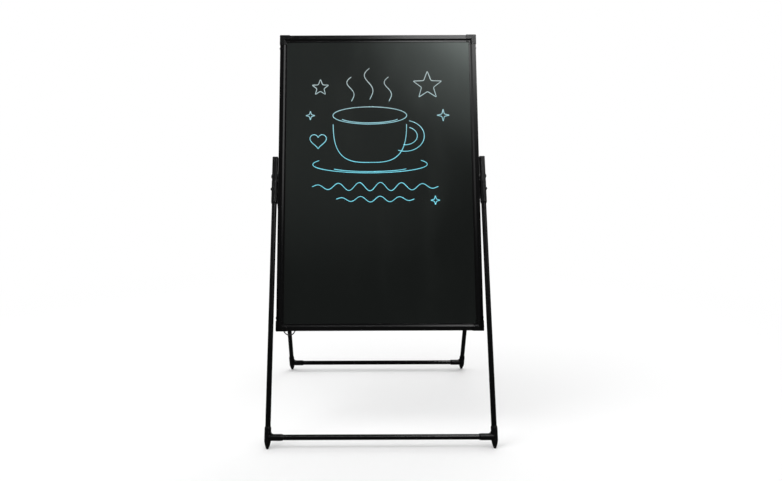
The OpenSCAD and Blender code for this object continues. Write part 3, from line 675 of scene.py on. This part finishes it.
def pen_glow_and_painted_glare():
    """Fluorescent pen lit from the panel's edge: bright cyan low on the board, and pale grey-teal high on it,
    where the glow and ink colours are washed out as a painted reflection glare; darker at a line's rims, and
    streaked."""
    f = new_finish("pen_glow_and_painted_glare")
    # Mask that is 1 low on the board and 0 high on it: the paler glow and ink colours high up are painted
    # reflection glare
    low = f.ramp(f.along(UP, PIVOT), *PAINTED_GLARE_HEIGHTS, to_low=1.0, to_high=0.0)
    core = f.mix(low, (0.51, 0.57, 0.58), (0.25, 0.74, 0.85))
    rim = f.mix(low, (0.10, 0.19, 0.20), (0.01, 0.22, 0.32))
    ink = f.mix(low, (0.04, 0.06, 0.06), (0.01, 0.07, 0.09))
    across = f.node("ShaderNodeAttribute", {"attribute_name": "across"}, None, "Fac")
    streak = f.noise(260, detail=3)
    glow = f.mix(f.ramp(across ** 2 + 0.3 * streak, low=0.25, high=1.1), core, rim)
    return f.surface(
        Base_Color=ink,
        Roughness=0.5 + 0.2 * streak,
        Specular_IOR_Level=0.08,
        Emission_Color=glow,
        Emission_Strength=1.0,
    )


def pen_line(path, closed):
    """One pen line: a flat dome carried along its path on the panel, a little wider and narrower as the hand
    presses, with round ends. Gives rows of points on the panel, how far each stands out of it, and how far
    each lies from the line's middle."""
    spans = np.linalg.norm(np.diff(path, axis=0), axis=1)
    run = np.concatenate([[0], np.cumsum(spans)])
    count = max(int(run[-1] / PEN_STEP), PEN_FEWEST)
    stops = np.linspace(0, run[-1], count, endpoint=not closed)
    line = np.stack([np.interp(stops, run, path[:, i]) for i in range(2)], axis=1)
    beyond = {"mode": "wrap"} if closed else {"mode": "reflect", "reflect_type": "odd"}
    longer = np.pad(line, ((2, 2), (0, 0)), **beyond)
    line = sum(weight * longer[i:i + count] for i, weight in enumerate(PEN_SMOOTHING))
    longer = np.pad(line, ((1, 1), (0, 0)), **beyond)
    way = unit(longer[2:] - longer[:-2])
    aside = np.stack([-way[:, 1], way[:, 0]], axis=1)
    slow = PRESS_SLOW * np.sin(stops / SLOW_RUN + PRESS_START * path[0, 0])
    press = 1 + slow + PRESS_QUICK * np.sin(stops / QUICK_RUN)
    if not closed:
        inward = np.clip(np.minimum(stops, run[-1] - stops) / (PEN_W / 2), 0.0, 1.0)
        press *= np.maximum(np.sqrt(1 - (1 - inward) ** 2), PEN_TIP)
    half = PEN_W / 2 * press
    spread = np.concatenate([np.cos(PEN_DOME), [-1, 1]])
    rise = np.concatenate([np.sin(PEN_DOME) ** PEN_DOME_POWER * PEN_H, [-PEN_SUNK, -PEN_SUNK]])
    flat = line[:, None] + aside[:, None] * (half[:, None] * spread)[..., None]
    out = np.broadcast_to(rise, half.shape + rise.shape)
    return flat, out, np.broadcast_to(np.abs(spread), out.shape)


def make_drawing():
    """The pen drawing: a cup with steam, stars, a heart and wavy lines, one mesh of many closed lines."""
    lowest, highest = reach("writing_panel")
    middle, face = (lowest[1] + highest[1]) / 2, highest[2]
    points, faces, across, start = [], [], [], 0
    for path, closed in DRAWING:
        flat, out, spread = pen_line(np.asarray(path) * MM, closed)
        rings, sides = out.shape
        points.append(on_board(flat[..., 0], middle + flat[..., 1], face + out).reshape(-1, 3))
        across.append(spread.ravel())
        faces += [[start + corner for corner in quad] for quad in tube_faces(rings, sides, closed)]
        start += rings * sides
    values = {"across": np.concatenate(across)}
    new_piece("pen_drawing", np.vstack(points), faces, pen_glow_and_painted_glare(), "board", values)


make_drawing()

# Studio

# The floor's half side, the distances over which it fades to white, and the world's level as light
FLOOR_HALF = 6.0
FLOOR_FADE = (0.9, 2.6)
FLOOR_TONE = (0.90, 0.90, 0.90)
WORLD_LEVEL = 0.97
WHITE = (1.0, 1.0, 1.0)
# Softboxes: azimuth, elevation, the angles of their bright middle and of their faded rim, and how bright
SOFTBOXES = [
    (25.1, 50.3, 11.5, 16.1, 26),
    (20.9, 46, 8, 17.2, 10),
    (-3.5, 37.6, 3.1, 17.2, 1.8),
    (59, 33, 5, 16, 20),
    (-58, 32, 6, 16, 9),
    (-4, 68, 5, 10, 10),
    (31, 66.5, 5, 11, 36),
    (112, 71, 6, 18, 18),
    (19, 62.5, 3, 6, 210),
    (-8, 64.5, 2.5, 5, 70),
    (150, 42, 10, 30, 14),
    (-140, 50, 8, 28, 12),
]
# Lamps: name, azimuth, elevation, distance, size and watts
LAMPS = [
    ("key", -75, 58, 2.6, 1.2, 16),
    ("back", 150, 50, 2.6, 1.4, 12),
]


def direction(azimuth, elevation):
    """Unit vector from the object: azimuth from -Y towards +X, elevation above the floor, in degrees."""
    a, e = np.radians([azimuth, elevation])
    return np.array([np.sin(a) * np.cos(e), -np.cos(a) * np.cos(e), np.sin(e)])


def softbox(f, look, azimuth, elevation, middle, rim, power):
    """Light of one softbox by where a ray looks: full in its middle, and a smooth step down to its rim."""
    facing = f.dot(look, tuple(direction(azimuth, elevation)))
    return f.ramp(facing, *np.cos(np.radians([rim, middle])), to_low=0.0, to_high=power)


def make_world():
    """White to the camera and in gloss, a softer level as light, with soft round patches in gloss as from
    softboxes."""
    world = bpy.data.worlds.new("studio")
    bpy.context.scene.world = world
    f = Finish(world)
    rays = each("Is {} Ray", "Camera", "Glossy", "Transmission")
    camera, gloss, through = (f.node("ShaderNodeLightPath", out=ray) for ray in rays)
    level = f.ramp(camera + gloss + through, low=0, high=1, to_low=WORLD_LEVEL, to_high=1.0)
    look = f.node("ShaderNodeTexCoord", out="Generated")
    boxes = sum(softbox(f, look, *row) for row in SOFTBOXES)
    shader = f.node("ShaderNodeBackground", None, {"Color": WHITE, "Strength": level + boxes * gloss})
    f.close("ShaderNodeOutputWorld", shader)


def make_floor():
    """Pale floor that takes the object's shadow and fades to white far from it."""
    f = new_finish("studio_floor")
    far = f.vector("LENGTH", f.place(), out="Value")
    matt = f.node("ShaderNodeBsdfDiffuse", None, {"Color": FLOOR_TONE})
    white = f.node("ShaderNodeEmission", None, {"Color": WHITE, "Strength": 1.0})
    both = f.node("ShaderNodeMixShader", None, {0: f.ramp(far, *FLOOR_FADE), 1: matt, 2: white})
    f.close("ShaderNodeOutputMaterial", both)
    corners = FLOOR_HALF * np.array([[-1, -1, 0], [1, -1, 0], [1, 1, 0], [-1, 1, 0]])
    mesh = bpy.data.meshes.new("floor")
    mesh.from_pydata(corners, [], [[0, 1, 2, 3]])
    mesh.materials.append(f.owner)
    floor = bpy.data.objects.new("floor", mesh)
    bpy.context.scene.collection.objects.link(floor)


def make_lamp(name, azimuth, elevation, far, size, watts):
    """Square area lamp that faces the middle of the board."""
    data = bpy.data.lights.new(name, "AREA")
    data.size = size
    data.energy = watts
    towards = direction(azimuth, elevation)
    aside = unit(np.cross([0, 0, 1], towards))
    lamp = bpy.data.objects.new(name, data)
    stand(lamp, aside, np.cross(towards, aside), towards, PIVOT + far * towards)


make_world()
make_floor()
for row in LAMPS:
    make_lamp(*row)
bpy.context.scene.view_settings.view_transform = "Standard"
